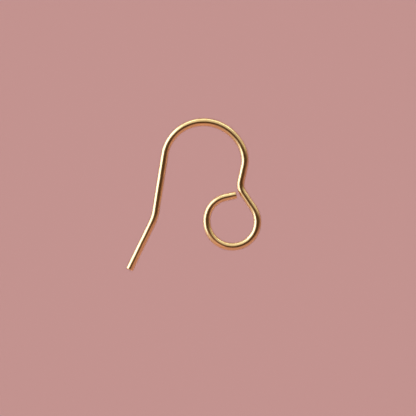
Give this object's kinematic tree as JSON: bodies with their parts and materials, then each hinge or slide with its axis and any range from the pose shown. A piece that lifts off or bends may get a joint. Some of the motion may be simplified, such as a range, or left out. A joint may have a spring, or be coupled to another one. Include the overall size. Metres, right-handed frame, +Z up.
{
  "type": "ear wire",
  "caption": "Ear wire bent from one length of round gold-plated wire: splayed straight tail, round bow that sits in the ear, and an open loop that a drop hangs from.",
  "frame": {"origin": "centre of the bounding box in X and Y, on the surface that the wire lies on", "axes": "the wire is bent in the XY plane: +Y points to the crest of the bow, +X to the side with the leg and the loop, and +Z up from the surface"},
  "size_m": [0.015, 0.017, 0.0008],
  "materials": {
    "gold_wire": "polished yellow gold plate on brass wire"
  },
  "bodies": {
    "root": {"ear_wire": "gold_wire"}
  },
  "joints": []
}
